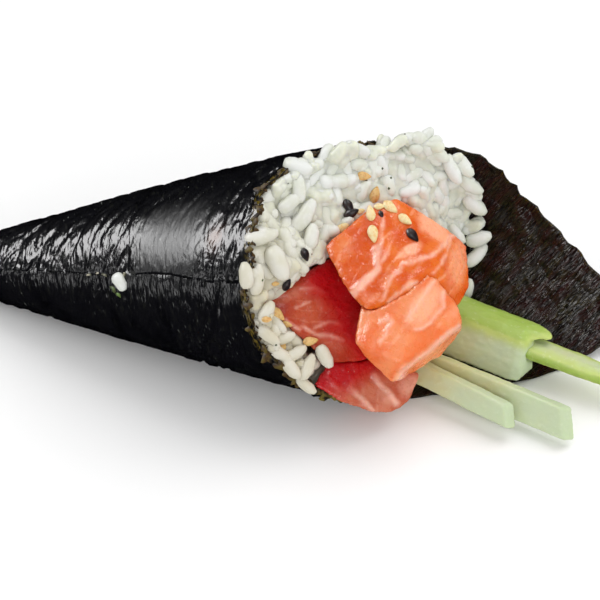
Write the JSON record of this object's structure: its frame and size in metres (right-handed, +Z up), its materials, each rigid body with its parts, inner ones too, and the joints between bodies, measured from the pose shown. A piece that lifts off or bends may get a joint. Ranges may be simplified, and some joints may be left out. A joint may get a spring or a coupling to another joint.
{
  "type": "temaki hand roll",
  "caption": "Temaki hand roll: a nori cone lying on its side, filled with rice, salmon chunks and cucumber sticks that stick out of its open mouth.",
  "frame": {"origin": "middle of the narrow flat strip under the cone, on which the roll rests, 60 mm from the tip", "axes": "+X from the cone's tip to its mouth, +Y to the back, away from the side where the filling shows, +Z up"},
  "size_m": [0.1437, 0.0493, 0.0414],
  "materials": {
    "nori": "glossy crinkled dried seaweed, nearly black",
    "rice": "moist, slightly see-through cooked grains",
    "salmon": "wet raw fish, orange with pale fat lines",
    "salmon_deep": "wet raw fish, redder, with fine pale lines",
    "cucumber": "moist pale flesh with yellow-green skin",
    "sesame_white": "toasted seeds",
    "sesame_black": "dark seeds"
  },
  "bodies": {
    "root": {"nori_sheet": "nori", "rice": "rice", "salmon_top": "salmon", "salmon_front": "salmon", "salmon_inner": "salmon_deep", "salmon_low": "salmon_deep", "cucumber_wedge": "cucumber", "cucumber_tip_slice": "cucumber", "cucumber_stick_short": "cucumber", "cucumber_stick_long": "cucumber"}
  },
  "joints": []
}
